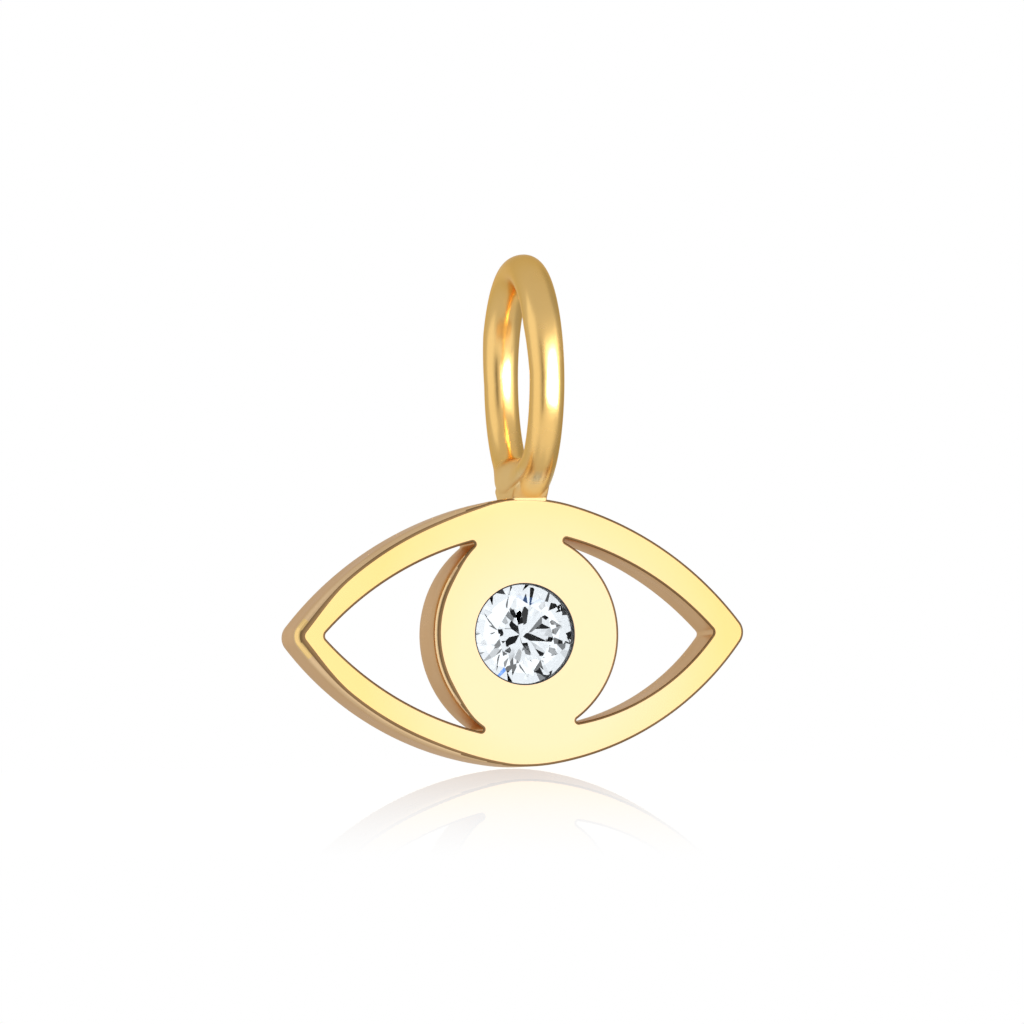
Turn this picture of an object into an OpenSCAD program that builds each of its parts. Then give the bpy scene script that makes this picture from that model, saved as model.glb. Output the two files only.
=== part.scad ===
// Evil eye pendant: a pierced almond plate with a flush-set round stone, hung from a soldered ring.
// Millimetres. +Z is up and the front faces -Y.
// The origin is the inside top of the ring, where a chain bears.

/* [Plate] */
// From the middle of the iris to the left tip
left_reach = 5.74; // [5.4:0.02:6.4]
// From the middle of the iris to the right tip
right_reach = 5.53; // [5.23:0.02:6.4]
// From the middle of the iris up to the crown
crown_h = 3.34; // [3.1:0.02:3.7]
// From the middle of the iris down to the keel
keel_h = 3.25; // [3.05:0.05:3.6]
// Thickness of the plate
plate_t = 1.85; // [1.7:0.05:2.4]
// How much larger the upper flanks' radius is than that of one arc from tip to crown
crown_flank_spare = 1.8; // [1:0.1:3]
// The same for the lower flanks, which are fuller
keel_flank_spare = 0.8; // [0.3:0.1:2]
// Radius of the crown and the keel, seen from the front
crown_r = 4.4; // [3.8:0.1:4.8]
// Radius of the two tips, seen from the front
tip_r = 0.42; // [0.3:0.02:0.6]

/* [Openings] */
// Metal between each opening's outer corner and the tip
tip_wall = 0.77; // [0.55:0.01:1]
// Metal above the left opening, measured over the middle of the iris
left_crown_wall = 0.86; // [0.65:0.01:1]
// Metal above the right opening, measured over the middle of the iris
right_crown_wall = 0.79; // [0.65:0.01:1]
// Metal below the left opening, measured under the middle of the iris
left_keel_wall = 0.68; // [0.6:0.01:0.9]
// Metal below the right opening, whose lower corner stops short, measured under the middle of the iris
right_keel_wall = 1; // [0.8:0.02:1.1]
// Radius of the openings' long flanks
opening_flank_r = 7.6; // [6.8:0.1:8.4]
// Radius of the right opening's lower flank
right_lower_flank_r = 5.4; // [5:0.1:6.4]
// Radius of the openings' outer corners
opening_tip_r = 0.12; // [0.08:0.02:0.3]
// Radius of the narrow corners beside the iris
cusp_r = 0.05; // [0.03:0.01:0.09]

/* [Iris] */
// From the middle of the iris to its left edge
iris_left = 2.28; // [2.1:0.02:2.6]
// From the middle of the iris to its right edge
iris_right = 2.36; // [2.1:0.02:2.6]
// How far the circle of the iris's left edge runs past the openings' height, so that the two cross
iris_left_spare = 0.23; // [0.1:0.01:0.4]
// The same for the circle of the iris's right edge
iris_right_spare = 0.03; // [0.02:0.01:0.4]

/* [Bail] */
// Diameter of the ring's wire
wire_d = 0.85; // [0.8:0.01:1]
// Outside diameter of the ring
bail_d = 6.18; // [5.6:0.02:7]
// How deep the wire is let into the crown
bail_sink = 0.13; // [0.08:0.01:0.24]
// How far the ring stands to the right of the middle of the iris
bail_shift = 0.27; // [0:0.01:0.32]
// Width of the solder under the wire
solder_w = 0.8; // [0.64:0.02:0.8]
// How far the solder stays back from the plate's faces and the wire's sides
solder_inset = 0.06; // [0.03:0.01:0.15]
// How high the solder fills the ring above the wire at its foot
solder_fill = 0.3; // [0.1:0.02:0.4]

/* [Stone] */
// Diameter of the stone at its girdle
stone_d = 2.5; // [2:0.05:2.9]
// Diameter of the stone's table, corner to corner
table_d = 1.42; // [1.2:0.01:1.55]
// Slope of the main facets above the girdle
crown_slope = 34.5; // [30:0.5:38]
// Slope of the main facets below the girdle
pavilion_slope = 40.75; // [39:0.25:42]
// Thickness of the girdle
girdle_t = 0.05; // [0.03:0.01:0.1]
// How far the table stands proud of the plate
table_rise = 0.04; // [0:0.01:0.1]

/* [Seat] */
// Space between the stone and the metal all round
seat_gap = 0.02; // [0.015:0.005:0.04]
// How far the burnished lip closes over the girdle
lip = 0.03; // [0.02:0.01:0.06]
// Diameter of the light hole behind the stone
light_hole_d = 1.3; // [0.8:0.05:1.6]

/* [Hidden] */

$fn = 96;

// How far a cutting shape runs past the face that it cuts
cut = 0.3;
// How far the solder runs on inside the plate, so that it meets the curved crown all along
solder_root = 0.2;
// Straight steps along each kind of arc in the plate's outline
tip_steps = 5;
flank_steps = 14;
crown_steps = 7;
cusp_steps = 5;
iris_steps = 12;

// Main facets round the stone, above the girdle and below it
mains = 8;
rim = 2 * mains;
full_turn = 360;
half_turn = full_turn / rim;
// Where the star facets end, as a share of the way from the table's edge to the girdle
star_share = 0.5;
// Where the lower half facets end, as a share of the way from the girdle to the point
lower_half_share = 0.77;

// Heights and depths of the openings, over and under the middle of the iris
left_upper_h = crown_h - left_crown_wall;
right_upper_h = crown_h - right_crown_wall;
left_lower_h = keel_h - left_keel_wall;
right_lower_h = keel_h - right_keel_wall;
iris_left_r = max(left_upper_h, left_lower_h) + iris_left_spare;
iris_right_r = max(right_upper_h, right_lower_h) + iris_right_spare;

bail_inner_r = bail_d / 2 - wire_d;
bail_wire_r = bail_inner_r + wire_d / 2;
bail_z = -bail_inner_r;
bail_lift = crown_h - bail_sink + wire_d + bail_inner_r;
eye_at = [-bail_shift, 0, bail_z - bail_lift];

stone_r = stone_d / 2;
table_r = table_d / 2;

// The stone's corners by radius and by drop.
// Above the girdle a drop is counted from the table, and below it from the girdle's foot.
crown_drop = (stone_r - table_r) * tan(crown_slope);
table_flat_r = table_r * cos(half_turn);
star_r = table_flat_r + star_share * (stone_r - table_flat_r);
star_drop = crown_drop - (stone_r - star_r * cos(half_turn)) * tan(crown_slope);
lower_r = stone_r * (1 - lower_half_share);
lower_drop = (stone_r - lower_r * cos(half_turn)) * tan(pavilion_slope);
point_drop = stone_r * tan(pavilion_slope);

// Fall for each unit of radius along the steepest edges above and below the girdle
upper_edge_fall = (crown_drop - star_drop) / (stone_r - star_r);
lower_edge_fall = lower_drop / (stone_r - lower_r);

// Depths of the girdle's two edges below the plate's front face
girdle_top = crown_drop - table_rise;
girdle_foot = girdle_top + girdle_t;

// The point at one distance from a and another from b, to the left of the way from a to b
function meet(a, b, from_a, from_b) =
    let (apart = norm(b - a), ahead = (b - a) / apart)
    let (along = (apart * apart + from_a * from_a - from_b * from_b) / (2 * apart))
    let (aside = sqrt(from_a * from_a - along * along))
    a + along * ahead + aside * [-ahead[1], ahead[0]];

function heading(from, to) = atan2(to[1] - from[1], to[0] - from[0]);

// Points along an arc, without its end point
function arc(at, r, from, to, steps) =
    let (step = (to - from) / steps)
    [for (i = [0 : steps - 1]) at + r * [cos(from + i * step), sin(from + i * step)]];

function mirrored(points, across, up) = [for (p = points) [across * p[0], up * p[1]]];

function backwards(points) = [for (i = [len(points) - 1 : -1 : 0]) points[i]];

function tail(points) = [for (i = [1 : len(points) - 1]) points[i]];

// A quarter of the plate's outline from its tip to its crown, in the quarter where both are positive
function plate_quarter(reach, height, flank_spare) =
    let (tip = [reach - tip_r, 0], crown = [0, height - crown_r])
    let (single_arc_r = (tip[0] * tip[0] + height * height - tip_r * tip_r) / (2 * (height - tip_r)))
    let (flank_r = single_arc_r + flank_spare)
    let (flank = meet(tip, crown, flank_r - tip_r, flank_r - crown_r))
    let (leave_tip = heading(flank, tip), reach_crown = heading(flank, crown))
    concat(
        arc(tip, tip_r, 0, leave_tip, tip_steps),
        arc(flank, flank_r, leave_tip, reach_crown, flank_steps),
        arc(crown, crown_r, reach_crown, 90, crown_steps),
        [[0, height]]
    );

// The upper half of an opening from its outer corner to the middle of the iris's edge
function opening_half(reach, height, long_r, iris_edge, iris_r) =
    let (tip = [reach - opening_tip_r, 0], iris = [iris_edge - iris_r, 0])
    let (flank = meet(tip, [0, height], long_r - opening_tip_r, long_r))
    let (cusp = meet(iris, flank, iris_r + cusp_r, long_r - cusp_r))
    let (leave_tip = heading(flank, tip), reach_cusp = heading(flank, cusp))
    concat(
        arc(tip, opening_tip_r, 0, leave_tip, tip_steps),
        arc(flank, long_r, leave_tip, reach_cusp, flank_steps),
        arc(cusp, cusp_r, reach_cusp, heading(cusp, iris) + full_turn, cusp_steps),
        arc(iris, iris_r, heading(iris, cusp), 0, iris_steps),
        [[iris_edge, 0]]
    );

// Extrudes what is drawn from the front, evenly about the plate's middle
module from_front(thickness) {
    rotate([90, 0, 0])
        linear_extrude(thickness, center = true)
            children();
}

module plate_blank() {
    upper_right = plate_quarter(right_reach, crown_h, crown_flank_spare);
    upper_left = mirrored(plate_quarter(left_reach, crown_h, crown_flank_spare), -1, 1);
    lower_left = mirrored(plate_quarter(left_reach, keel_h, keel_flank_spare), -1, -1);
    lower_right = mirrored(plate_quarter(right_reach, keel_h, keel_flank_spare), 1, -1);
    from_front(plate_t)
        polygon(concat(tail(upper_right), tail(backwards(upper_left)),
                       tail(lower_left), tail(backwards(lower_right))));
}

// The cutter for one opening, on the side that across says: 1 for the right and -1 for the left
module opening(across, reach, upper_h, lower_h, lower_flank_r, iris_edge, iris_r) {
    upper = opening_half(reach - tip_wall, upper_h, opening_flank_r, iris_edge, iris_r);
    lower = opening_half(reach - tip_wall, lower_h, lower_flank_r, iris_edge, iris_r);
    from_front(plate_t + 2 * cut)
        polygon(mirrored(concat(tail(upper), tail(backwards(mirrored(lower, 1, -1)))), across, 1));
}

// The cutter for the stone's seat: lip, groove for the girdle, cone and light hole, by radius and depth
module seat() {
    mouth = stone_r - lip;
    groove = stone_r + seat_gap;
    hole = light_hole_d / 2;
    lip_foot = girdle_top - lip * upper_edge_fall - seat_gap;
    cone_foot = girdle_foot + (groove - hole) * lower_edge_fall + seat_gap;
    translate([0, -plate_t / 2, 0])
        rotate([-90, 0, 0])
            rotate_extrude()
                polygon([
                    [0, -cut],
                    [mouth, -cut],
                    [mouth, lip_foot],
                    [groove, girdle_top],
                    [groove, girdle_foot + seat_gap],
                    [hole, cone_foot],
                    [hole, plate_t + cut],
                    [0, plate_t + cut]
                ]);
}

// Evenly spaced corners round the stone's axis, at one depth below its table
function ring(r, depth, count, offset) =
    let (step = full_turn / count)
    [for (i = [0 : count - 1]) [r * cos((i + offset) * step), r * sin((i + offset) * step), depth]];

// A round brilliant with its table at zero depth and its point along +Z
module brilliant() {
    foot_drop = crown_drop + girdle_t;
    points = concat(
        ring(table_r, 0, mains, 0),
        ring(star_r, star_drop, mains, 0.5),
        ring(stone_r, crown_drop, rim, 0),
        ring(stone_r, foot_drop, rim, 0),
        ring(lower_r, foot_drop + lower_drop, mains, 0.5),
        [[0, 0, foot_drop + point_drop]]
    );
    star = mains;
    upper = star + mains;
    foot = upper + rim;
    lower = foot + rim;
    point = lower + mains;
    after = function(i, count) (i + 1) % count;
    before = function(i) (i + mains - 1) % mains;
    table_face = [for (i = [mains - 1 : -1 : 0]) i];
    stars = [for (i = [0 : mains - 1]) [i, after(i, mains), star + i]];
    kites = [for (i = [0 : mains - 1]) [i, star + i, upper + 2 * i, star + before(i)]];
    main_at = function(i) floor(i * mains / rim);
    upper_halves = [for (i = [0 : rim - 1]) [star + main_at(i), upper + after(i, rim), upper + i]];
    girdle = [for (i = [0 : rim - 1])
        [upper + i, upper + after(i, rim), foot + after(i, rim), foot + i]];
    lower_halves = [for (i = [0 : rim - 1]) [lower + main_at(i), foot + i, foot + after(i, rim)]];
    lower_mains = [for (i = [0 : mains - 1]) [foot + 2 * i, lower + i, point, lower + before(i)]];
    faces = concat([table_face], stars, kites, upper_halves, girdle, lower_halves, lower_mains);
    polyhedron(points, faces);
}

module bail_ring() {
    rotate([0, 90, 0])
        rotate_extrude()
            translate([bail_wire_r, 0])
                circle(d = wire_d);
}

// Fills the space between the wire and the plate's top edge, half way between the middles of ring and iris
module solder_foot() {
    to_crown = bail_lift - crown_h;
    root = norm([plate_t / 2, to_crown]) + solder_root;
    translate([-bail_shift / 2, 0, 0])
        intersection() {
            rotate([0, 90, 0])
                rotate_extrude()
                    translate([bail_wire_r, -solder_w / 2])
                        square([root - bail_wire_r, solder_w]);
            translate([0, 0, -bail_wire_r])
                cube([solder_w + cut, plate_t - 2 * solder_inset, bail_wire_r], center = true);
        }
}

// Fills the bottom of the ring's inside
module solder_web() {
    web_w = wire_d - 2 * solder_inset;
    web_r = bail_wire_r + solder_inset;
    intersection() {
        rotate([0, 90, 0])
            cylinder(r = web_r, h = web_w, center = true);
        translate([0, 0, solder_fill - bail_inner_r - web_r])
            cube([wire_d, 2 * web_r, 2 * web_r], center = true);
    }
}

module eye_plate_with_bail() {
    color([0.94, 0.78, 0.42])
        difference() {
            union() {
                translate(eye_at)
                    plate_blank();
                translate([0, 0, bail_z]) {
                    bail_ring();
                    solder_foot();
                    solder_web();
                }
            }
            translate(eye_at) {
                opening(1, right_reach, right_upper_h, right_lower_h, right_lower_flank_r,
                        iris_right, iris_right_r);
                opening(-1, left_reach, left_upper_h, left_lower_h, opening_flank_r,
                        iris_left, iris_left_r);
                seat();
            }
        }
}

module stone() {
    color([0.9, 0.95, 1])
        translate(eye_at + [0, -plate_t / 2 - table_rise, 0])
            rotate([-90, 0, 0])
                brilliant();
}

eye_plate_with_bail();
stone();
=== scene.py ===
"""Evil eye pendant: the gold body and the stone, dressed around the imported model.

Sizes are in millimetres until a mesh is made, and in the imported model's frame: +Z up, the front facing -Y.
"""

import math

import bmesh
import bpy
from mathutils import Matrix, Vector
from mathutils.geometry import delaunay_2d_cdt


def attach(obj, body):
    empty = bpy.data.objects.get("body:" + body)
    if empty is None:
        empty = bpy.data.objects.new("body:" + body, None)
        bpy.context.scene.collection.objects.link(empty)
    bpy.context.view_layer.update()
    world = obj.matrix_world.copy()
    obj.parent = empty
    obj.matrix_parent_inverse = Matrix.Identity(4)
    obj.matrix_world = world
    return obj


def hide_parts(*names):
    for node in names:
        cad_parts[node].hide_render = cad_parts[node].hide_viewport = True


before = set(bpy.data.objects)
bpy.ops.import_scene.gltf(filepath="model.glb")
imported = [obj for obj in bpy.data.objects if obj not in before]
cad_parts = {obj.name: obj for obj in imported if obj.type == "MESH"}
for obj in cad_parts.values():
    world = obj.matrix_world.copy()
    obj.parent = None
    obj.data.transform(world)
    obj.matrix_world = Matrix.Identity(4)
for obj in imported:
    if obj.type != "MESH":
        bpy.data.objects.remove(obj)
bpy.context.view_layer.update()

MM = 0.001

# The pendant's sizes, the same as the solid's

LEFT_REACH = 5.74
RIGHT_REACH = 5.53
CROWN_H = 3.34
KEEL_H = 3.25
PLATE_T = 1.85
CROWN_FLANK_SPARE = 1.8
KEEL_FLANK_SPARE = 0.8
CROWN_R = 4.4
TIP_R = 0.42

TIP_WALL = 0.77
LEFT_UPPER_H = CROWN_H - 0.86
RIGHT_UPPER_H = CROWN_H - 0.79
LEFT_LOWER_H = KEEL_H - 0.68
RIGHT_LOWER_H = KEEL_H - 1.0
OPENING_FLANK_R = 7.6
RIGHT_LOWER_FLANK_R = 5.4
OPENING_TIP_R = 0.12
CUSP_R = 0.05

IRIS_LEFT = 2.28
IRIS_RIGHT = 2.36
IRIS_LEFT_R = max(LEFT_UPPER_H, LEFT_LOWER_H) + 0.23
IRIS_RIGHT_R = max(RIGHT_UPPER_H, RIGHT_LOWER_H) + 0.03

WIRE_R = 0.85 / 2
BAIL_R = 6.18 / 2 - WIRE_R
BAIL_Z = -(BAIL_R - WIRE_R)
BAIL_SINK = 0.13
BAIL_SHIFT = 0.27
SOLDER_HALF = 0.4
SOLDER_FILL = 0.3

STONE_R = 1.25
TABLE_R = 0.71
STAR_LENGTH = 0.5
LOWER_HALF_LENGTH = 0.77
CROWN_SLOPE = math.radians(34.5)
PAVILION_SLOPE = math.radians(40.75)
GIRDLE_T = 0.05
TABLE_RISE = 0.04
STONE_TURN = math.radians(34.5)
SEAT_GAP = 0.02
LIP = 0.03
HOLE_R = 0.65

CROWN_Z = BAIL_Z - BAIL_R - WIRE_R + BAIL_SINK
EYE = Vector((-BAIL_SHIFT, 0, CROWN_Z - CROWN_H))
FRONT = -PLATE_T / 2
BACK = PLATE_T / 2

# How far the polished edges are rounded over: in front where they are crisp, then in front where they are
# worn, at the plate's left arms, its left tip and the iris's left, and then at the back and the stone's seat
CRISP_ROUND = 0.06
ARM_ROUND = 0.17
TIP_ROUND = 0.27
IRIS_ROUND = 0.18
BACK_ROUND = 0.08
SEAT_ROUND = 0.035
# The roundings from which a worn edge is shiny, at the plate's tip and at the iris
SHINY_TIP = 0.262
SHINY_IRIS = 0.172
# About how wide the painted dark line beside the face is, and how many steps of the rounding it and the shine
# take
EDGE_LINE = 0.062
LINE_STEPS = 5
# How much lower the polished face lies at its tips than in the middle
FACE_FALL = 0.05

# How much the solder thickens the wire's left side near the ring's foot, how far from the foot it ends and
# over how much of the way it thins out, in degrees
SOLDER_CREEP = 0.16
CREEP_END = 44
CREEP_RUN = 30
# How much the bending thickens the wire's left side at the top, and how fast that grows with the height
TOP_SPARE = 0.07
TOP_RISE = 2.2

# The gold body's material slots: the face, the walls, the wire, the stone's seat in painted shade, and the
# painted dark line at the front edges
FACE, WALL, WIRE, SHADED_SEAT, EDGE_PAINTED_DARK = range(5)

# How many steps the curves are drawn in
TIP_STEPS = 8
FLANK_STEPS = 44
CROWN_STEPS = 22
CORNER_STEPS = 6
LONG_STEPS = 36
CUSP_STEPS = 10
IRIS_STEPS = 30
ROUND_STEPS = 7
SEAT_STEPS = 4
SEAT_SIDES = 144


# Shapes

def meet(a, b, from_a, from_b):
    """The point at one distance from a and another from b, to the left of the way from a to b."""
    apart = math.dist(a, b)
    ahead = ((b[0] - a[0]) / apart, (b[1] - a[1]) / apart)
    along = (apart ** 2 + from_a ** 2 - from_b ** 2) / (2 * apart)
    aside = math.sqrt(from_a ** 2 - along ** 2)
    return (a[0] + along * ahead[0] - aside * ahead[1], a[1] + along * ahead[1] + aside * ahead[0])


def heading(a, b):
    """The angle of the way from a to b."""
    return math.atan2(b[1] - a[1], b[0] - a[0])


def arc(centre, radius, start, stop, steps, growth):
    """Samples of an arc without its end; growth says whether its radius grows on the way into the metal."""
    return [(centre, radius, start + (stop - start) * i / steps, growth) for i in range(steps)]


def plate_quarter(reach, height, flank_spare):
    """Samples from the tip to the crown, in the quarter where both are positive."""
    tip = (reach - TIP_R, 0)
    crown = (0, height - CROWN_R)
    flank_r = (tip[0] ** 2 + height ** 2 - TIP_R ** 2) / (2 * (height - TIP_R)) + flank_spare
    flank = meet(tip, crown, flank_r - TIP_R, flank_r - CROWN_R)
    leave_tip = heading(flank, tip)
    reach_crown = heading(flank, crown)
    return (
        arc(tip, TIP_R, 0, leave_tip, TIP_STEPS, -1)
        + arc(flank, flank_r, leave_tip, reach_crown, FLANK_STEPS, -1)
        + arc(crown, CROWN_R, reach_crown, math.pi / 2, CROWN_STEPS, -1)
        + [(crown, CROWN_R, math.pi / 2, -1)]
    )


def opening_half(reach, height, long_r, iris_edge, iris_r):
    """Samples from an opening's outer corner to the middle of the iris's edge."""
    tip = (reach - OPENING_TIP_R, 0)
    iris = (iris_edge - iris_r, 0)
    flank = meet(tip, (0, height), long_r - OPENING_TIP_R, long_r)
    cusp = meet(iris, flank, iris_r + CUSP_R, long_r - CUSP_R)
    leave_tip = heading(flank, tip)
    reach_cusp = heading(flank, cusp)
    return (
        arc(tip, OPENING_TIP_R, 0, leave_tip, CORNER_STEPS, 1)
        + arc(flank, long_r, leave_tip, reach_cusp, LONG_STEPS, 1)
        + arc(cusp, CUSP_R, reach_cusp, heading(cusp, iris) + 2 * math.pi, CUSP_STEPS, 1)
        + arc(iris, iris_r, heading(iris, cusp), 0, IRIS_STEPS, -1)
        + [(iris, iris_r, 0.0, -1)]
    )


def flipped(samples, across, up):
    """The samples mirrored into the quarter where across and up are 1 or -1."""
    return [(across, up, *s) for s in samples]


def place(sample, inset):
    """Where a sample lies in the plate's plane once it is moved into the metal by inset."""
    across, up, centre, radius, angle, growth = sample
    r = radius + growth * inset
    return across * (centre[0] + r * math.cos(angle)), up * (centre[1] + r * math.sin(angle))


def outer_samples():
    """Samples once round the plate's outline, from the right tip over the crown."""
    upper_right = flipped(plate_quarter(RIGHT_REACH, CROWN_H, CROWN_FLANK_SPARE), 1, 1)
    upper_left = flipped(plate_quarter(LEFT_REACH, CROWN_H, CROWN_FLANK_SPARE), -1, 1)
    lower_left = flipped(plate_quarter(LEFT_REACH, KEEL_H, KEEL_FLANK_SPARE), -1, -1)
    lower_right = flipped(plate_quarter(RIGHT_REACH, KEEL_H, KEEL_FLANK_SPARE), 1, -1)
    return upper_right[1:] + upper_left[-2:0:-1] + lower_left + lower_right[-2::-1]


def opening_samples(across, reach, upper_h, lower_h, lower_flank_r, iris_edge, iris_r):
    """Samples once round the opening at the right or the left, where across is 1 or -1."""
    tip = reach - TIP_WALL
    upper = flipped(opening_half(tip, upper_h, OPENING_FLANK_R, iris_edge, iris_r), across, 1)
    lower = flipped(opening_half(tip, lower_h, lower_flank_r, iris_edge, iris_r), across, -1)
    return upper[1:] + lower[-2::-1]


def fall(x, z):
    """How far the polished face has dropped at a point of the plate."""
    return FACE_FALL * ((x / LEFT_REACH) ** 2 + 0.5 * (z / CROWN_H) ** 2)


def eased(value, low, high):
    """0 up to low, rising smoothly to 1 at high."""
    t = min(1, max(0, (value - low) / (high - low)))
    return t * t * (3 - 2 * t)


def front_round(sample, outer):
    """How far the edge in front is rounded over at a sample: more at the plate's and the iris's left."""
    across, _, _, _, angle, growth = sample
    # 1 where the wall faces left, -1 where it faces right
    leftward = growth * across * math.cos(angle)
    arm_from, arm_full = 0.05, 0.4
    tip_from, tip_full = LEFT_REACH - 1.3, LEFT_REACH - 0.1
    iris_from, iris_full = 0.6, 0.9
    if outer:
        arm = (ARM_ROUND - CRISP_ROUND) * eased(leftward, arm_from, arm_full)
        near_tip = eased(-place(sample, 0)[0], tip_from, tip_full)
        return CRISP_ROUND + arm + (TIP_ROUND - ARM_ROUND) * near_tip
    if across < 0 and growth < 0:
        return CRISP_ROUND + (IRIS_ROUND - CRISP_ROUND) * eased(leftward, iris_from, iris_full)
    return CRISP_ROUND


def wall_profile(rounding):
    """Inset and depth along a wall with its front edge rounded that far, from the front face to the back."""
    rows = []
    for i in range(ROUND_STEPS + 1):
        t = math.pi / 2 * i / ROUND_STEPS
        rows.append((rounding * (1 - math.sin(t)), FRONT + rounding * (1 - math.cos(t))))
    near = FRONT + rounding
    far = BACK - BACK_ROUND
    for share in (0.25, 0.5, 0.75):
        rows.append((0, near + (far - near) * share))
    for i in range(ROUND_STEPS + 1):
        t = math.pi / 2 * i / ROUND_STEPS
        rows.append((BACK_ROUND * (1 - math.cos(t)), BACK - BACK_ROUND * (1 - math.sin(t))))
    return rows


def seat_profile():
    """Radius and depth down the stone's seat, from the front face to the back face."""
    star = star_corner()
    upper_fall = (crown_drop() - star[1]) / (STONE_R - star[0])
    lower = lower_corner()
    lower_fall = lower[1] / (STONE_R - lower[0])
    mouth = STONE_R - LIP
    groove = STONE_R + SEAT_GAP
    girdle = FRONT + crown_drop() - TABLE_RISE
    rows = []
    for i in range(SEAT_STEPS + 1):
        t = math.pi / 2 * i / SEAT_STEPS
        rows.append((mouth + SEAT_ROUND * (1 - math.sin(t)), FRONT + SEAT_ROUND * (1 - math.cos(t))))
    rows.append((mouth, girdle - LIP * upper_fall - SEAT_GAP))
    rows.append((groove, girdle))
    rows.append((groove, girdle + GIRDLE_T + SEAT_GAP))
    rows.append((HOLE_R, girdle + GIRDLE_T + (groove - HOLE_R) * lower_fall + SEAT_GAP))
    for i in range(SEAT_STEPS + 1):
        t = math.pi / 2 * i / SEAT_STEPS
        rows.append((HOLE_R + BACK_ROUND * (1 - math.cos(t)), BACK - BACK_ROUND * (1 - math.sin(t))))
    return rows


def inside(point, loop):
    """Whether a point of the plate's plane is inside a closed loop of points."""
    x, z = point
    odd = False
    for (ax, az), (bx, bz) in zip(loop, loop[1:] + loop[:1]):
        if (az > z) != (bz > z) and x < ax + (z - az) * (bx - ax) / (bz - az):
            odd = not odd
    return odd


def ring_of_points(radius, count):
    """Points round a circle in the plate's plane."""
    angles = [2 * math.pi * i / count for i in range(count)]
    return [(radius * math.cos(a), radius * math.sin(a)) for a in angles]


def face_fill(bm, rim, holes, keep_rim, keep_holes, depth, pitch):
    """Fills a flat between a rim and holes, with points of its own inside keep_rim, outside keep_holes."""
    loops = [rim] + holes
    verts = [v for loop in loops for v in loop]
    points = [Vector((v.co.x, v.co.z)) for v in verts]
    edges = []
    base = 0
    for loop in loops:
        edges += [(base + i, base + (i + 1) % len(loop)) for i in range(len(loop))]
        base += len(loop)
    row = 0
    z = -KEEL_H
    inner = []
    while z < CROWN_H:
        x = -LEFT_REACH + (pitch / 2 if row % 2 else 0)
        while x < RIGHT_REACH:
            if inside((x, z), keep_rim) and not any(inside((x, z), hole) for hole in keep_holes):
                inner.append((x, z))
            x += pitch
        z += pitch * math.sqrt(3) / 2
        row += 1
    points += [Vector(p) for p in inner]
    verts += [bm.verts.new((x, depth + (fall(x, z) if depth < 0 else 0), z)) for x, z in inner]
    out = delaunay_2d_cdt(points, edges, [], 0, 1e-7, True)
    rim_flat = [(v.co.x, v.co.z) for v in rim]
    hole_flat = [[(v.co.x, v.co.z) for v in hole] for hole in holes]
    for tri in out[2]:
        corners = [out[0][i] for i in tri]
        middle = sum(corners, Vector((0, 0))) / 3
        if not inside(middle, rim_flat) or any(inside(middle, hole) for hole in hole_flat):
            continue
        face = bm.faces.new([verts[out[3][i][0]] for i in tri])
        face.material_index = FACE


def bridge(bm, rows, material_of):
    """Quads between closed rows of vertices; material_of takes the row's number and the place in it."""
    for k in range(len(rows) - 1):
        near, far = rows[k], rows[k + 1]
        for i in range(len(near)):
            j = (i + 1) % len(near)
            face = bm.faces.new((near[i], near[j], far[j], far[i]))
            face.material_index = material_of(k, i)


def to_object(bm, name, materials):
    """An object in metres from a bmesh in millimetres, its faces turned outwards."""
    bmesh.ops.recalc_face_normals(bm, faces=bm.faces)
    bmesh.ops.transform(bm, matrix=Matrix.Scale(MM, 4), verts=bm.verts)
    mesh = bpy.data.meshes.new(name)
    bm.to_mesh(mesh)
    bm.free()
    for m in materials:
        mesh.materials.append(m)
    obj = bpy.data.objects.new(name, mesh)
    bpy.context.scene.collection.objects.link(obj)
    return obj


def edge_slot(k, rounding, shiny_from):
    """A wall step's slot: a painted dark line beside the face, standing in for the dark that a rounded
    polished edge mirrors, and a bright one where the rounding is widest.
    """
    if k >= LINE_STEPS:
        return WALL
    if ROUND_STEPS * math.asin(min(1, EDGE_LINE / rounding)) > k * math.pi / 2:
        # Painted reflection: the dark brown slot beside the face
        return EDGE_PAINTED_DARK
    return FACE if rounding > shiny_from else WALL


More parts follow.
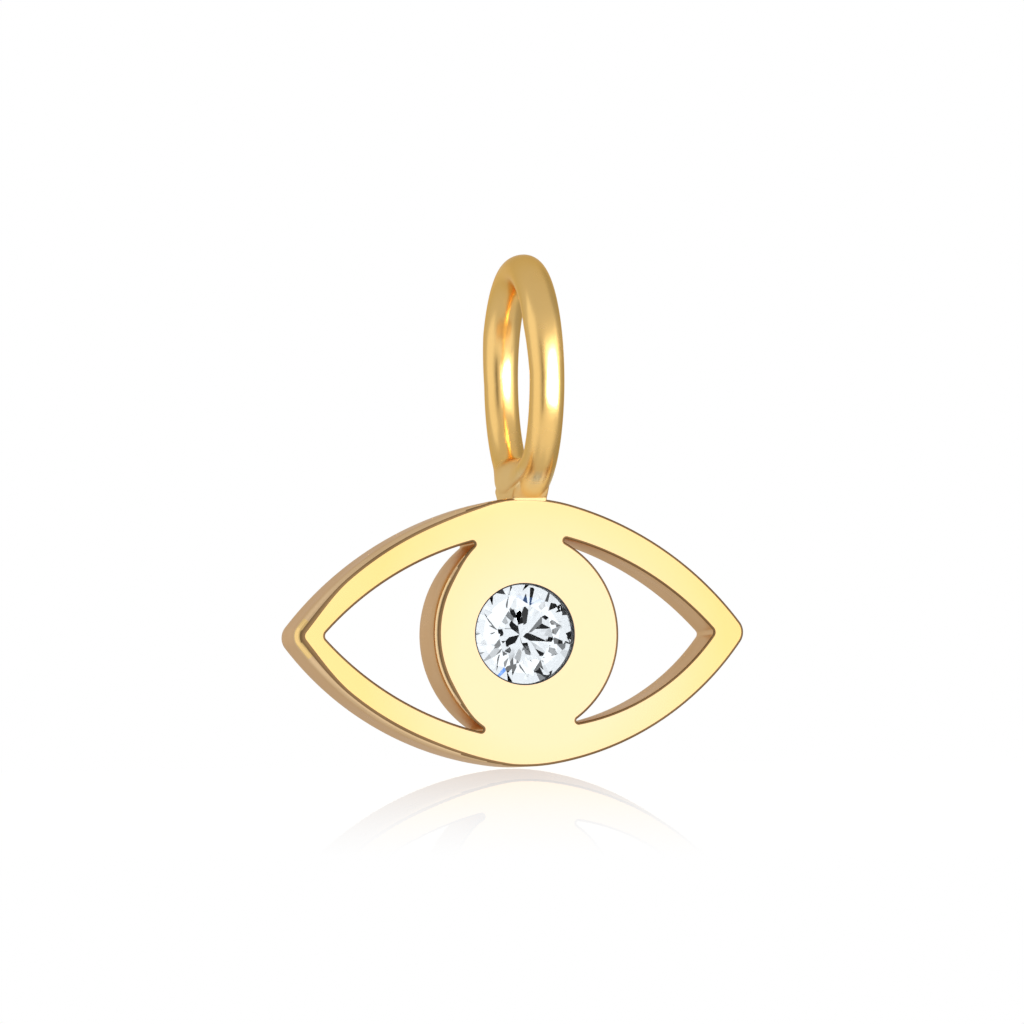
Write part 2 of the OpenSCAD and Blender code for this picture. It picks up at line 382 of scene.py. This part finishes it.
def make_plate(materials):
    """The plate with its openings and the stone's seat, without its ring."""
    bm = bmesh.new()
    loops = [
        outer_samples(),
        opening_samples(
            1, RIGHT_REACH, RIGHT_UPPER_H, RIGHT_LOWER_H, RIGHT_LOWER_FLANK_R, IRIS_RIGHT, IRIS_RIGHT_R
        ),
        opening_samples(-1, LEFT_REACH, LEFT_UPPER_H, LEFT_LOWER_H, OPENING_FLANK_R, IRIS_LEFT, IRIS_LEFT_R),
    ]
    roundings = [[front_round(s, samples is loops[0]) for s in samples] for samples in loops]
    fronts, backs = [], []
    for samples, rounding in zip(loops, roundings):
        profiles = [wall_profile(r) for r in rounding]
        rows = []
        for k in range(len(profiles[0])):
            row = []
            for s, profile in zip(samples, profiles):
                inset, depth = profile[k]
                x, z = place(s, inset)
                row.append(bm.verts.new((x, depth + fall(x, z) * max(0, -depth / BACK), z)))
            rows.append(row)
        shiny_from = SHINY_TIP if samples is loops[0] else SHINY_IRIS
        bridge(bm, rows, lambda k, i: edge_slot(k, rounding[i], shiny_from))
        fronts.append(rows[0])
        backs.append(rows[-1])
    rows = []
    for radius, depth in seat_profile():
        row = []
        for x, z in ring_of_points(radius, SEAT_SIDES):
            row.append(bm.verts.new((x, depth + fall(x, z) * max(0, -depth / BACK), z)))
        rows.append(row)
    rounding_behind = len(rows) - SEAT_STEPS - 1
    # The seat's walls and hole, all but the back's rounding, are painted in shade
    bridge(bm, rows, lambda k, i: SHADED_SEAT if k < rounding_behind else WALL)
    fronts.append(rows[0])
    backs.append(rows[-1])
    clear = 0.06
    front_pitch = 0.16
    back_pitch = 0.4
    for rims, depth, insets, pitch in (
        (fronts, FRONT, roundings, front_pitch),
        (backs, BACK, [[BACK_ROUND] * len(samples) for samples in loops], back_pitch),
    ):
        keep = [[place(s, r + clear) for s, r in zip(samples, row)] for samples, row in zip(loops, insets)]
        keep_seat = ring_of_points(Vector(rims[3][0].co.xz).length + clear, SEAT_SIDES)
        face_fill(bm, rims[0], rims[1:], keep[0], keep[1:] + [keep_seat], depth, pitch)
    bmesh.ops.translate(bm, vec=EYE, verts=bm.verts)
    return to_object(bm, "plate", materials)


def wire_depth(up):
    """How far the metal reaches in from the wire's middle, where this share of the radius points up."""
    if up >= 0:
        return WIRE_R
    level = BAIL_R - (BAIL_R - WIRE_R - SOLDER_FILL) / -up
    soft = 0.1
    return WIRE_R + (level - WIRE_R + math.hypot(level - WIRE_R, soft)) / 2


def creep(up, side):
    """How much thicker the wire's left side is: near the foot by the solder, at the top by the bending."""
    from_foot = math.degrees(math.acos(min(1, max(-1, -up))))
    solder = SOLDER_CREEP * eased(CREEP_END - from_foot, 0, CREEP_RUN)
    return (solder + TOP_SPARE * min(1, max(0, TOP_RISE * up))) * max(0, -side)


def make_ring(materials):
    """The bail: a torus of round wire in the plane across the plate, its foot filled with solder inside."""
    bm = bmesh.new()
    around, across = 288, 64
    middle = Vector((0, 0, BAIL_Z))
    rows = []
    for i in range(around):
        t = 2 * math.pi * i / around
        out = Vector((0, math.sin(t), math.cos(t)))
        depth = wire_depth(out.z)
        row = []
        for j in range(across):
            outward = math.cos(2 * math.pi * j / across)
            side = math.sin(2 * math.pi * j / across)
            reach = BAIL_R + (WIRE_R if outward > 0 else depth) * outward
            aside = Vector((WIRE_R * side - creep(out.z, side), 0, 0))
            row.append(bm.verts.new(middle + out * reach + aside))
        rows.append(row)
    bridge(bm, rows + [rows[0]], lambda k, i: WIRE)
    return to_object(bm, "ring", materials)


def make_solder(materials):
    """The solder between wire and crown, which climbs up under the wire in front and behind."""
    bm = bmesh.new()
    below_crown = 0.2
    above_crown = 0.65
    taper_from = 0.2
    left_flare, left_taper = 0.01, 0.24
    right_flare, right_taper = 0.1, 0.06
    back_from_faces = 0.025
    spread = 1.2
    squareness = 0.14
    count = 96
    heights = 34
    foot = CROWN_Z - below_crown
    top = CROWN_Z + above_crown
    rows = []
    for k in range(heights + 1):
        z = foot + (top - foot) * k / heights
        climb = max(0, z - CROWN_Z)
        taper = eased(climb, taper_from, above_crown)
        left = -BAIL_SHIFT / 2 - SOLDER_HALF - left_flare + left_taper * taper
        right = -BAIL_SHIFT / 2 + SOLDER_HALF + right_flare - right_taper * taper
        half_y = BACK - back_from_faces + spread * climb
        row = []
        for i in range(count):
            t = 2 * math.pi * i / count
            c, s = math.cos(t), math.sin(t)
            x = (left + right) / 2 + (right - left) / 2 * math.copysign(abs(c) ** squareness, c)
            y = half_y * math.copysign(abs(s) ** squareness, s)
            row.append(bm.verts.new((x, y, z)))
        rows.append(row)
    bridge(bm, rows, lambda k, i: WIRE)
    for row in (rows[0], rows[-1]):
        face = bm.faces.new(row)
        face.material_index = WIRE
    return to_object(bm, "solder", materials)


def united(base, others):
    """base with the others fused to it."""
    for other in others:
        modifier = base.modifiers.new("fuse", "BOOLEAN")
        modifier.operation = "UNION"
        modifier.solver = "EXACT"
        modifier.object = other
        bpy.context.view_layer.update()
        fused = bpy.data.meshes.new_from_object(base.evaluated_get(bpy.context.evaluated_depsgraph_get()))
        base.modifiers.clear()
        base.data = fused
        bpy.data.objects.remove(other)
    return base


def shade(obj):
    """Smooth shading, with true normals on the flats and a crease at every sharp edge."""
    crease = math.radians(40)
    bm = bmesh.new()
    bm.from_mesh(obj.data)
    bmesh.ops.remove_doubles(bm, verts=bm.verts, dist=1e-7)
    for face in bm.faces:
        face.smooth = True
    for edge in bm.edges:
        edge.smooth = len(edge.link_faces) == 2 and edge.calc_face_angle(0) < crease
    bm.to_mesh(obj.data)
    bm.free()
    weighted = obj.modifiers.new("true_normals", "WEIGHTED_NORMAL")
    weighted.keep_sharp = True
    weighted.weight = 100


# The stone

# Half the turn from one of its eight main facets to the next
HALF_TURN = math.pi / 8


def crown_drop():
    """How far the girdle's upper edge lies below the table."""
    return (STONE_R - TABLE_R) * math.tan(CROWN_SLOPE)


def star_corner():
    """Radius of the corners where the star facets end, and their drop below the table."""
    flat = TABLE_R * math.cos(HALF_TURN)
    radius = flat + STAR_LENGTH * (STONE_R - flat)
    return radius, crown_drop() - (STONE_R - radius * math.cos(HALF_TURN)) * math.tan(CROWN_SLOPE)


def lower_corner():
    """Radius of the corners where the lower half facets end, and their drop below the girdle."""
    radius = STONE_R * (1 - LOWER_HALF_LENGTH)
    return radius, (STONE_R - radius * math.cos(HALF_TURN)) * math.tan(PAVILION_SLOPE)


def at(radius, turn, drop):
    """A point by its distance from the stone's axis, its turn about it and its drop below the table."""
    return Vector((radius * math.cos(turn), radius * math.sin(turn), -drop))


def brilliant_planes():
    """A point and an outward normal for each facet, with the table at zero height."""
    crown, foot = crown_drop(), crown_drop() + GIRDLE_T
    star_r, star_drop = star_corner()
    lower_r, lower_drop = lower_corner()
    point = Vector((0, 0, -foot - STONE_R * math.tan(PAVILION_SLOPE)))
    corners = []
    for i in range(8):
        a, b = 2 * i * HALF_TURN, (2 * i + 1) * HALF_TURN
        c, e = a + 2 * HALF_TURN, a - HALF_TURN
        corners += [
            (at(TABLE_R, a, 0), at(star_r, b, star_drop), at(TABLE_R, c, 0)),
            (at(TABLE_R, a, 0), at(star_r, e, star_drop), at(star_r, b, star_drop)),
            (at(star_r, b, star_drop), at(STONE_R, a, crown), at(STONE_R, b, crown)),
            (at(star_r, b, star_drop), at(STONE_R, b, crown), at(STONE_R, c, crown)),
            (at(lower_r, b, foot + lower_drop), at(STONE_R, a, foot), at(STONE_R, b, foot)),
            (at(lower_r, b, foot + lower_drop), at(STONE_R, b, foot), at(STONE_R, c, foot)),
            (at(STONE_R, a, foot), at(lower_r, e, foot + lower_drop), point),
        ]
    planes = [(Vector((0, 0, 0)), Vector((0, 0, 1)))]
    middle = Vector((0, 0, -foot))
    for p, q, r in corners:
        normal = (q - p).cross(r - p).normalized()
        if normal.dot(p - middle) < 0:
            normal.negate()
        planes.append((p, normal))
    return planes


def make_stone(material, turn):
    """A round brilliant, cut facet by facet from a round rod."""
    bm = bmesh.new()
    sides = 96
    rod_top, rod_foot = -0.5, 3
    rod = []
    for drop in (rod_top, rod_foot):
        rod.append([bm.verts.new(at(STONE_R, 2 * math.pi * i / sides, drop)) for i in range(sides)])
    bridge(bm, rod, lambda k, i: 0)
    bm.faces.new(rod[0])
    bm.faces.new(rod[1])
    for point, normal in brilliant_planes():
        whole = bm.verts[:] + bm.edges[:] + bm.faces[:]
        cut = bmesh.ops.bisect_plane(
            bm, geom=whole, dist=1e-6, plane_co=point, plane_no=normal, clear_outer=True
        )
        rim = [e for e in cut["geom_cut"] if isinstance(e, bmesh.types.BMEdge)]
        bmesh.ops.contextual_create(bm, geom=rim)
    bmesh.ops.remove_doubles(bm, verts=bm.verts, dist=1e-5)
    bmesh.ops.transform(bm, matrix=Matrix.Rotation(turn, 4, "Z"), verts=bm.verts)
    bmesh.ops.transform(bm, matrix=Matrix.Rotation(math.radians(90), 4, "X"), verts=bm.verts)
    bmesh.ops.translate(bm, vec=EYE + Vector((0, FRONT - TABLE_RISE, 0)), verts=bm.verts)
    return to_object(bm, "clear_stone", [material])


# Materials

def new_material(name):
    """A material with its node tree and its shader."""
    m = bpy.data.materials.new(name)
    m.use_nodes = True
    tree = m.node_tree
    return m, tree, tree.nodes["Principled BSDF"]


def noise(tree, scale, detail=4.0, stretch=(1, 1, 1)):
    """Noise in the object's own space; scale is in features for each metre."""
    coords = tree.nodes.new("ShaderNodeTexCoord")
    mapping = tree.nodes.new("ShaderNodeMapping")
    mapping.inputs["Scale"].default_value = stretch
    texture = tree.nodes.new("ShaderNodeTexNoise")
    texture.inputs["Scale"].default_value = scale
    texture.inputs["Detail"].default_value = detail
    tree.links.new(coords.outputs["Object"], mapping.inputs["Vector"])
    tree.links.new(mapping.outputs["Vector"], texture.inputs["Vector"])
    return texture.outputs["Fac"]


def ramp(tree, value, low, high, a, b):
    """Runs from a to b as value goes from low to high."""
    node = tree.nodes.new("ShaderNodeMapRange")
    node.inputs["From Min"].default_value = low
    node.inputs["From Max"].default_value = high
    node.inputs["To Min"].default_value = a
    node.inputs["To Max"].default_value = b
    tree.links.new(value, node.inputs["Value"])
    return node.outputs["Result"]


def blended(tree, factor, a, b):
    """The colour a where the factor is 0 and b where it is 1."""
    node = tree.nodes.new("ShaderNodeMix")
    node.data_type = "RGBA"
    node.inputs["A"].default_value = (*a, 1)
    node.inputs["B"].default_value = (*b, 1)
    tree.links.new(factor, node.inputs["Factor"])
    return node.outputs["Result"]


def bumped(tree, shader, height, strength, distance):
    """Gives a shader a bump from a height."""
    node = tree.nodes.new("ShaderNodeBump")
    node.inputs["Strength"].default_value = strength
    node.inputs["Distance"].default_value = distance
    tree.links.new(height, node.inputs["Height"])
    tree.links.new(node.outputs["Normal"], shader.inputs["Normal"])


def gold(name, light, deep, smooth, rough, grain, stretch=(1, 1, 1), rim=(1, 1, 1)):
    """Polished gold plating: cloudy changes of tone, a little unevenness in the polish and a fine grain."""
    m, tree, shader = new_material(name)
    shader.inputs["Metallic"].default_value = 1.0
    shader.inputs["Specular Tint"].default_value = (*rim, 1)
    clouds = ramp(tree, noise(tree, scale=420), 0.35, 0.65, 0, 1)
    tree.links.new(blended(tree, clouds, light, deep), shader.inputs["Base Color"])
    polish = ramp(tree, noise(tree, scale=900, detail=6.0), 0.3, 0.7, smooth, rough)
    tree.links.new(polish, shader.inputs["Roughness"])
    height = noise(tree, scale=9000, detail=3.0, stretch=stretch)
    bumped(tree, shader, height, strength=grain, distance=0.01 * MM)
    return m


def clear_stone_material():
    """Clear and smooth, with a faint change of tint; the index is that of cubic zirconia."""
    m, tree, shader = new_material("clear_stone")
    shader.inputs["Transmission Weight"].default_value = 1.0
    shader.inputs["IOR"].default_value = 2.17
    shader.inputs["Roughness"].default_value = 0.0
    tint = blended(tree, noise(tree, scale=900, detail=2.0), (0.97, 0.985, 1.0), (0.93, 0.965, 1.0))
    tree.links.new(tint, shader.inputs["Base Color"])
    return m


def nearness(tree, point, inner, outer):
    """1 within the inner distance of a point, falling to 0 at the outer one; all in millimetres."""
    coords = tree.nodes.new("ShaderNodeTexCoord")
    away = tree.nodes.new("ShaderNodeVectorMath")
    away.operation = "DISTANCE"
    away.inputs[1].default_value = Vector(point) * MM
    tree.links.new(coords.outputs["Object"], away.inputs[0])
    return ramp(tree, away.outputs["Value"], inner * MM, outer * MM, 1, 0)


def overlaid(tree, socket, kind, value, factor):
    """Mixes a fixed colour or number into what already drives a socket."""
    node = tree.nodes.new("ShaderNodeMix")
    node.data_type = kind
    node.inputs["B"].default_value = value
    tree.links.new(factor, node.inputs["Factor"])
    tree.links.new(socket.links[0].from_socket, node.inputs["A"])
    tree.links.new(node.outputs["Result"], socket)


def gold_face():
    """The face's gold, with a painted highlight: paler towards the face's middle."""
    m = gold("gold_face", (1.0, 0.705, 0.295), (1.0, 0.685, 0.27), smooth=0.14, rough=0.2, grain=0.05)
    tree = m.node_tree
    shader = tree.nodes["Principled BSDF"]
    # Painted highlight: the base colour grows paler within these distances of a point near the face's middle
    painted_highlight_middle = EYE + Vector((0.5, FRONT, -0.6))
    painted_highlight = nearness(tree, painted_highlight_middle, inner=2.1, outer=4.6)
    overlaid(tree, shader.inputs["Base Color"], "RGBA", (1.0, 0.75, 0.46, 1), painted_highlight)
    return m


def gold_wire():
    """The wire's gold, paler and duller at its foot, where the solder has run, the paler colour there also
    being painted light; and a painted lighter patch under the wire in front.
    """
    m = gold(
        "gold_wire", (1.0, 0.665, 0.25), (0.96, 0.62, 0.215), smooth=0.2, rough=0.3, grain=0.1,
        rim=(0.9, 0.74, 0.46),
    )
    tree = m.node_tree
    shader = tree.nodes["Principled BSDF"]
    # Paler and rougher near the foot: the solder's own tone, and also painted light that lightens the wire's
    # darker orange reflections there
    foot = nearness(tree, (-BAIL_SHIFT / 2, 0, CROWN_Z), inner=0.9, outer=1.7)
    overlaid(tree, shader.inputs["Base Color"], "RGBA", (1.0, 0.75, 0.38, 1), foot)
    overlaid(tree, shader.inputs["Roughness"], "FLOAT", 0.42, foot)
    # Painted light: a paler patch under the wire in front, lightening the darker orange reflection there
    painted_light_under_wire = nearness(tree, (0.05, -1.45, CROWN_Z + 0.35), inner=0.3, outer=0.65)
    overlaid(tree, shader.inputs["Base Color"], "RGBA", (1.0, 0.87, 0.56, 1), painted_light_under_wire)
    return m


gold_materials = [
    gold_face(),
    gold(
        "gold_wall", (0.92, 0.66, 0.39), (0.87, 0.61, 0.34), smooth=0.26, rough=0.38, grain=0.25,
        stretch=(1, 0.2, 1), rim=(0.82, 0.68, 0.54),
    ),
    gold_wire(),
    # The stone's seat in painted shade: dark grey instead of gold, so that the stone's facets show it dark
    gold("seat_painted_shade", (0.12, 0.12, 0.12), (0.06, 0.06, 0.065), smooth=0.3, rough=0.4, grain=0.1),
    # The painted dark line at the front edges: dark brown instead of gold, standing in for the dark that the
    # rounded edge mirrors
    gold(
        "edge_painted_dark", (0.34, 0.21, 0.1), (0.26, 0.16, 0.075), smooth=0.35, rough=0.45, grain=0.1,
        rim=(0.6, 0.45, 0.3),
    ),
]

plate = make_plate(gold_materials)
ring = make_ring(gold_materials)
solder = make_solder(gold_materials)
gold_body = united(plate, [ring, solder])
gold_body.name = "gold_body"

shade(gold_body)
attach(gold_body, "root")
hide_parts("eye_plate_with_bail")

stone = make_stone(clear_stone_material(), STONE_TURN)
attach(stone, "root")
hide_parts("stone")


# Camera

def direction(azimuth, elevation):
    """The way towards a viewer at that azimuth and elevation, in degrees."""
    a, e = math.radians(azimuth), math.radians(elevation)
    return Vector((math.sin(a) * math.cos(e), -math.cos(a) * math.cos(e), math.sin(e)))


VIEW_AZ, VIEW_EL, VIEW_ROLL = -12.2, -2.4, -0.9
VIEW_DISTANCE = 180
PIXELS_PER_MM = 40.8
PICTURE = 1024
SENSOR = 36
# Where the picture shows the middle of the eye's front, in pixels from the upper left corner
EYE_ACROSS, EYE_DOWN = 525, 634

scene = bpy.context.scene
view_back = direction(VIEW_AZ, VIEW_EL)
level_right = Vector((0, 0, 1)).cross(view_back).normalized()
level_up = view_back.cross(level_right).normalized()
roll = math.radians(VIEW_ROLL)
view_right = level_right * math.cos(roll) + level_up * math.sin(roll)
view_up = level_up * math.cos(roll) - level_right * math.sin(roll)
eye_front = EYE + Vector((0, FRONT, 0))
shift_right = view_right * ((PICTURE / 2 - EYE_ACROSS) / PIXELS_PER_MM)
shift_up = view_up * ((EYE_DOWN - PICTURE / 2) / PIXELS_PER_MM)
aim = eye_front + shift_right + shift_up
camera_data = bpy.data.cameras.new("camera")
camera = bpy.data.objects.new("camera", camera_data)
scene.collection.objects.link(camera)
camera_data.sensor_width = SENSOR
camera_data.lens = SENSOR * PIXELS_PER_MM * VIEW_DISTANCE / PICTURE
camera_data.clip_start = 0.005
camera_data.clip_end = 20
rotation = Matrix((view_right, view_up, view_back)).transposed().to_4x4()
camera.matrix_world = Matrix.Translation((aim + view_back * VIEW_DISTANCE) * MM) @ rotation
scene.camera = camera


# Light: a pale studio all round, in which the metal and the stone each mirror panels of their own

scene.view_settings.view_transform = "Standard"
world = bpy.data.worlds.new("studio")
scene.world = world
world.use_nodes = True
wt = world.node_tree
wt.nodes.clear()


def world_math(operation, a, b=None, c=None):
    """A sum in the world's nodes, of numbers and of other nodes' results."""
    node = wt.nodes.new("ShaderNodeMath")
    node.operation = operation
    for socket, value in zip(node.inputs, (a, b, c)):
        if value is None:
            continue
        if isinstance(value, (int, float)):
            socket.default_value = value
        else:
            wt.links.new(value, socket)
    return node.outputs[0]


def soft_step(value, inner, outer):
    """1 up to inner, falling smoothly to 0 at outer."""
    node = wt.nodes.new("ShaderNodeMapRange")
    node.interpolation_type = "SMOOTHSTEP"
    node.inputs["From Min"].default_value = inner
    node.inputs["From Max"].default_value = outer
    node.inputs["To Min"].default_value = 1
    node.inputs["To Max"].default_value = 0
    wt.links.new(value, node.inputs["Value"])
    return node.outputs["Result"]


coords = wt.nodes.new("ShaderNodeTexCoord")
split = wt.nodes.new("ShaderNodeSeparateXYZ")
wt.links.new(coords.outputs["Generated"], split.inputs[0])
sky_x, sky_y, sky_z = split.outputs
azimuth_angle = world_math("ARCTAN2", sky_x, world_math("MULTIPLY", sky_y, -1))
azimuth_of = world_math("MULTIPLY", azimuth_angle, 180 / math.pi)
elevation_of = world_math("MULTIPLY", world_math("ARCSINE", sky_z), 180 / math.pi)


def panel(az, el, half_az, half_el, soft):
    """A soft-edged window of light seen in that direction, in degrees."""
    aside = world_math("ABSOLUTE", world_math("WRAP", world_math("SUBTRACT", azimuth_of, az), 180, -180))
    above = world_math("ABSOLUTE", world_math("SUBTRACT", elevation_of, el))
    across = soft_step(aside, half_az - soft, half_az + soft)
    upright = soft_step(above, half_el - soft, half_el + soft)
    return world_math("MULTIPLY", across, upright)


def lit(base, panels):
    """The base brightness with that of each panel added."""
    light = base
    for az, el, half_az, half_el, soft, power in panels:
        light = world_math("MULTIPLY_ADD", panel(az, el, half_az, half_el, soft), power, light)
    return light


# Each panel's azimuth and elevation, half its width and height and its softness, in degrees, and then the
# brightness that it adds
METAL_BASE = 0.6
METAL_PANELS = [
    (32, 4, 48, 26, 5, 0.67),
    (-40, 0, 6, 28, 3, -0.5),
    (-86, 0, 26, 45, 7, 0.35),
    (118, 0, 26, 50, 10, -0.2),
    (180, 4, 22, 12, 8, 0.12),
    (10, -52, 70, 20, 8, 0.25),
]
STONE_BASE = 1.28
STONE_PANELS = [
    (4, 2.5, 13, 5.5, 1.5, -1.26),
    (9, -7, 5, 5, 1.5, -1.26),
    (-21, 9, 4, 4, 1.5, -1.26),
    (27, -21, 5, 4, 1.5, -1.26),
    (-39, -27, 6, 4, 1.5, -1.26),
    (27, 9, 4, 4, 1.5, -1.26),
    (-9, -15, 4, 4, 1.5, -0.6),
]
STONE_GLINTS = [
    (38, -32, 5, 5, 1.5, 1.0),
    (52, 62, 5, 5, 1.5, 1.0),
]


def background(strength, colour=(1, 1, 1, 1)):
    """A surrounding of that brightness and colour, each a value or a node's result."""
    node = wt.nodes.new("ShaderNodeBackground")
    if isinstance(colour, tuple):
        node.inputs["Color"].default_value = colour
    else:
        wt.links.new(colour, node.inputs["Color"])
    if isinstance(strength, (int, float)):
        node.inputs["Strength"].default_value = strength
    else:
        wt.links.new(strength, node.inputs["Strength"])
    return node.outputs[0]


def seen_by(ray, others, these):
    """What rays of one kind see, and what the others see."""
    mix = wt.nodes.new("ShaderNodeMixShader")
    wt.links.new(path.outputs[ray], mix.inputs[0])
    wt.links.new(others, mix.inputs[1])
    wt.links.new(these, mix.inputs[2])
    return mix.outputs[0]


# The camera sees plain white, the sharp stone and the glossy floor see the stone's surroundings, and all else
# sees the metal's
path = wt.nodes.new("ShaderNodeLightPath")
round_metal = background(lit(METAL_BASE, METAL_PANELS), (1.0, 0.985, 0.96, 1))
tinted = blended(wt, lit(0, STONE_GLINTS), (0.95, 0.98, 1.0), (0.2, 0.42, 1.0))
round_stone = background(lit(STONE_BASE, STONE_PANELS), tinted)
backdrop = background(1.0)
world_out = wt.nodes.new("ShaderNodeOutputWorld")
all_round = seen_by("Is Singular Ray", round_metal, round_stone)
wt.links.new(seen_by("Is Camera Ray", all_round, backdrop), world_out.inputs[0])


def card(name, where, towards, width, height, spread, brightness):
    """A glowing card near the pendant, unseen by the camera; its brightness is counted as the world's is."""
    data = bpy.data.lights.new(name, "AREA")
    data.shape = "RECTANGLE"
    data.size = width * MM
    data.size_y = height * MM
    data.spread = math.radians(spread)
    data.energy = brightness * math.pi * data.size * data.size_y
    obj = bpy.data.objects.new(name, data)
    scene.collection.objects.link(obj)
    obj.rotation_euler = (where - towards).to_track_quat("Z", "Y").to_euler()
    obj.location = where * MM
    obj.visible_camera = False


# The bright card that lights the middle of the ring's wire, too high for the plate's face to mirror it
CARD_AZ = 28
CARD_AWAY = 5.5
CARD_AIM_RISE = 1.5
ring_middle = Vector((0, 0, BAIL_Z))
card_at = ring_middle + direction(CARD_AZ, 0) * CARD_AWAY
card_aim = ring_middle + Vector((0, 0, CARD_AIM_RISE))
card("bail_card", card_at, card_aim, width=8, height=3.4, spread=84, brightness=7.0)


# Floor: a pale glossy sheet that dips towards the camera, just under the pendant

FLOOR_DIP = math.radians(4.4)
FLOOR_GAP = 0.01
FLOOR_SHINE = 0.7
FLOOR_FADE = 38
# How slantingly the camera has to look along the floor: it isn't shown up to the first, and wholly from the
# second
SLANT_FROM, SLANT_TO = 0.92, 0.94


def make_floor():
    """A sheet seen by the camera alone and only at a slant, whose mirror image fades towards the front."""
    bm = bmesh.new()
    far_edge = BACK + 0.3
    near_edge = -60
    half = 120
    corners = [(-half, far_edge), (-half, near_edge), (half, near_edge), (half, far_edge)]
    under = EYE.z - KEEL_H - FLOOR_GAP
    bm.faces.new([bm.verts.new((x, y, under + (y - BACK) * math.tan(FLOOR_DIP))) for x, y in corners])
    floor = to_object(bm, "floor", [floor_material()])
    if floor.data.polygons[0].normal.z < 0:
        floor.data.flip_normals()


def floor_material():
    """White, with a mirror image that fades to the front; clear to all but the camera's slanting rays."""
    m, tree, shader = new_material("floor")
    tree.nodes.remove(shader)
    coords = tree.nodes.new("ShaderNodeTexCoord")
    where = tree.nodes.new("ShaderNodeSeparateXYZ")
    tree.links.new(coords.outputs["Object"], where.inputs[0])
    white = tree.nodes.new("ShaderNodeEmission")
    mirror = tree.nodes.new("ShaderNodeBsdfGlossy")
    mirror.inputs["Roughness"].default_value = 0.0
    mirror.inputs["Color"].default_value = (1.0, 0.9, 0.78, 1)
    clear = tree.nodes.new("ShaderNodeBsdfTransparent")
    path = tree.nodes.new("ShaderNodeLightPath")
    side = tree.nodes.new("ShaderNodeNewGeometry")
    shine = ramp(tree, where.outputs["Y"], -FLOOR_FADE * MM, BACK * MM, 0, FLOOR_SHINE)
    slant = tree.nodes.new("ShaderNodeLayerWeight")
    # The camera's rays less those that meet the floor from below
    from_above = tree.nodes.new("ShaderNodeMath")
    from_above.operation = "SUBTRACT"
    from_above.use_clamp = True
    tree.links.new(path.outputs["Is Camera Ray"], from_above.inputs[0])
    tree.links.new(side.outputs["Backfacing"], from_above.inputs[1])
    shown = tree.nodes.new("ShaderNodeMath")
    shown.operation = "MULTIPLY"
    tree.links.new(from_above.outputs[0], shown.inputs[0])
    tree.links.new(ramp(tree, slant.outputs["Facing"], SLANT_FROM, SLANT_TO, 0, 1), shown.inputs[1])
    glossy = tree.nodes.new("ShaderNodeMixShader")
    tree.links.new(shine, glossy.inputs[0])
    tree.links.new(white.outputs[0], glossy.inputs[1])
    tree.links.new(mirror.outputs[0], glossy.inputs[2])
    facing = tree.nodes.new("ShaderNodeMixShader")
    tree.links.new(shown.outputs[0], facing.inputs[0])
    tree.links.new(clear.outputs[0], facing.inputs[1])
    tree.links.new(glossy.outputs[0], facing.inputs[2])
    tree.links.new(facing.outputs[0], tree.nodes["Material Output"].inputs["Surface"])
    return m


make_floor()
